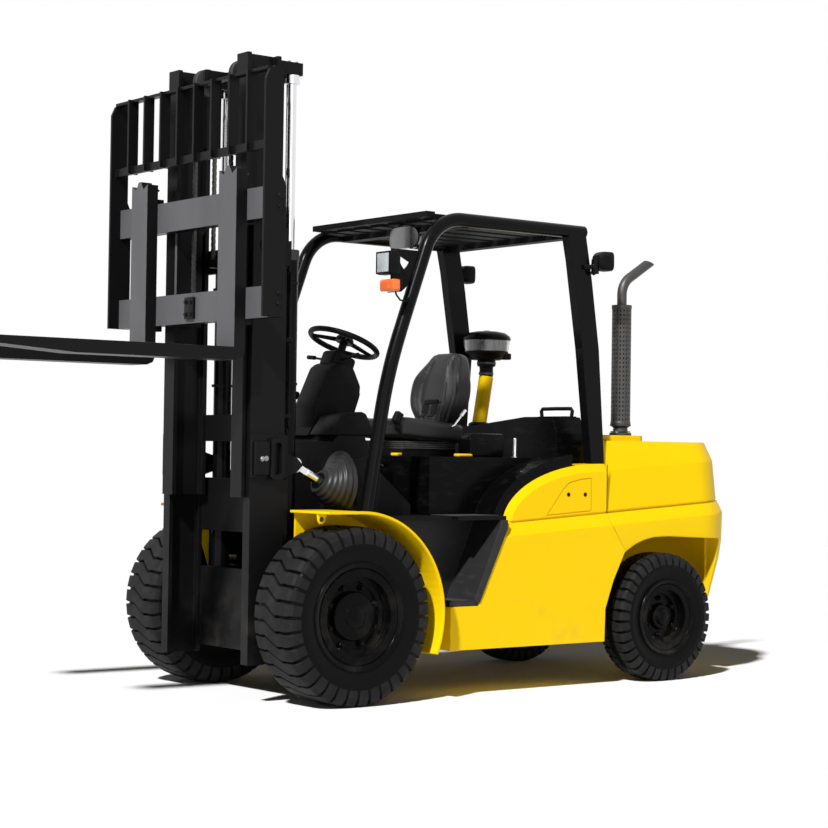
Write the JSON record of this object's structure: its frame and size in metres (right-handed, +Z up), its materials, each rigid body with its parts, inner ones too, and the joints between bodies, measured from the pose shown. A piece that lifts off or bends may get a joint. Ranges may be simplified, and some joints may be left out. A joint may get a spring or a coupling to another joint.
{
  "type": "counterbalance forklift truck",
  "caption": "Counterbalance forklift truck with a tilting two-stage mast, fork carriage, overhead guard, hinged seat hood and steered rear wheels.",
  "frame": {"origin": "middle of the truck's box on the ground under the wheels", "axes": "+X forward along the forks, +Y to the driver's left, +Z up"},
  "size_m": [4.7446, 1.49, 3.054],
  "materials": {
    "yellow_paint": "gloss",
    "cast_yellow": "gloss over cast iron",
    "black_paint": "satin",
    "mast_paint": "satin",
    "dark_steel": "matt",
    "chrome": "polished",
    "chain_steel": "oiled",
    "black_plastic": "grained",
    "grey_rubber": "matt",
    "tyre_rubber": "matt",
    "seat_vinyl": "grained",
    "engine_iron": "cast",
    "lamp_black": "satin",
    "mirror_glass": "polished",
    "stack_steel": "dull",
    "clear_bowl": "clear"
  },
  "bodies": {
    "chassis": {"frame": "dark_steel", "front_axle": "dark_steel", "engine_block": "engine_iron", "steer_axle": "dark_steel", "counterweight": "cast_yellow", "side_panel_left": "yellow_paint", "side_panel_right": "yellow_paint", "steps": "black_plastic", "deck": "black_plastic", "fenders": "yellow_paint", "cowl": "black_plastic", "steering_column": "black_plastic", "radiator_cover": "black_plastic", "guard_sides": "black_paint", "guard_roof": "black_paint", "front_lamps": "lamp_black", "rear_lamps": "lamp_black", "roof_mirror": "mirror_glass", "exhaust_stack": "stack_steel", "intake_pipe": "yellow_paint", "precleaner_bowl": "clear_bowl"},
    "hood": {"engine_hood": "black_plastic", "seat_base": "black_plastic", "seat_cushion": "seat_vinyl", "seat_back": "seat_vinyl"},
    "steering_wheel": {"steering_wheel": "black_plastic"},
    "mast": {"outer_mast": "mast_paint", "lift_barrels": "black_paint", "rear_chains": "chain_steel"},
    "inner_stage": {"inner_mast": "mast_paint", "lift_rods": "chrome", "chain_sheaves": "chain_steel"},
    "carriage": {"carriage_frame": "mast_paint", "load_backrest": "mast_paint", "fork_left": "mast_paint", "fork_right": "mast_paint", "front_chains": "chain_steel"},
    "tilt_barrel": {"tilt_barrels": "black_paint", "tilt_boots": "grey_rubber"},
    "tilt_rod": {"tilt_rods": "chrome"},
    "knuckle_left": {"knuckle_left": "dark_steel"},
    "knuckle_right": {"knuckle_right": "dark_steel"},
    "front_wheel_left": {"front_rim_left": "dark_steel", "front_tyre_left": "tyre_rubber"},
    "front_wheel_right": {"front_rim_right": "dark_steel", "front_tyre_right": "tyre_rubber"},
    "rear_wheel_left": {"rear_rim_left": "dark_steel", "rear_tyre_left": "tyre_rubber"},
    "rear_wheel_right": {"rear_rim_right": "dark_steel", "rear_tyre_right": "tyre_rubber"}
  },
  "joints": [
    {"name": "mast_tilt", "type": "hinge", "parent": "chassis", "child": "mast", "pos_m": [0.3165, 0, 0.42], "axis": [0, 1, 0], "range_deg": [-10, 6]},
    {"name": "inner_lift", "type": "slide", "parent": "mast", "child": "inner_stage", "axis": [0, 0, 1], "range_m": [-0.785, 0.715], "deforming": ["rear_chains"]},
    {"name": "carriage_lift", "type": "slide", "parent": "inner_stage", "child": "carriage", "axis": [0, 0, 1], "range_m": [-0.785, 0.715], "deforming": ["front_chains"]},
    {"name": "tilt_barrel_swing", "type": "hinge", "parent": "chassis", "child": "tilt_barrel", "pos_m": [-0.3035, 0, 0.73], "axis": [0, 1, 0], "range_deg": [-8, 6], "deforming": ["tilt_boots"]},
    {"name": "tilt_rod_slide", "type": "slide", "parent": "tilt_barrel", "child": "tilt_rod", "axis": [0.8872, 0, 0.4614], "range_m": [-0.12, 0.08]},
    {"name": "hood_hinge", "type": "hinge", "parent": "chassis", "child": "hood", "pos_m": [-1.1245, 0, 1.15], "axis": [0, -1, 0], "range_deg": [0, 60]},
    {"name": "steer_left", "type": "hinge", "parent": "chassis", "child": "knuckle_left", "pos_m": [-1.7475, 0.42, 0.338], "axis": [0, 0, 1], "range_deg": [-75, 75]},
    {"name": "steer_right", "type": "hinge", "parent": "chassis", "child": "knuckle_right", "pos_m": [-1.7475, -0.42, 0.338], "axis": [0, 0, 1], "range_deg": [-76, 76]},
    {"name": "steering_wheel_turn", "type": "hinge", "parent": "chassis", "child": "steering_wheel", "pos_m": [-0.0915, 0, 1.737], "axis": [-0.3746, 0, 0.9272], "range_deg": [-820, 820]},
    {"name": "front_left_spin", "type": "hinge", "parent": "chassis", "child": "front_wheel_left", "pos_m": [0.3165, 0.5875, 0.42], "axis": [0, 1, 0], "continuous": true},
    {"name": "front_right_spin", "type": "hinge", "parent": "chassis", "child": "front_wheel_right", "pos_m": [0.3165, -0.5875, 0.42], "axis": [0, 1, 0], "continuous": true},
    {"name": "rear_left_spin", "type": "hinge", "parent": "knuckle_left", "child": "rear_wheel_left", "pos_m": [-1.7475, 0.5725, 0.338], "axis": [0, 1, 0], "continuous": true},
    {"name": "rear_right_spin", "type": "hinge", "parent": "knuckle_right", "child": "rear_wheel_right", "pos_m": [-1.7475, -0.5725, 0.338], "axis": [0, 1, 0], "continuous": true}
  ],
  "couplings": [
    {"joint": "carriage_lift", "follows": "inner_lift", "ratio": 1},
    {"joint": "tilt_barrel_swing", "follows": "mast_tilt", "ratio": 0.5191},
    {"joint": "tilt_rod_slide", "follows": "mast_tilt", "m_per_rad": 0.56427},
    {"joint": "steer_right", "follows": "steer_left", "ratio": 1},
    {"joint": "steering_wheel_turn", "follows": "steer_left", "ratio": -10.8}
  ]
}
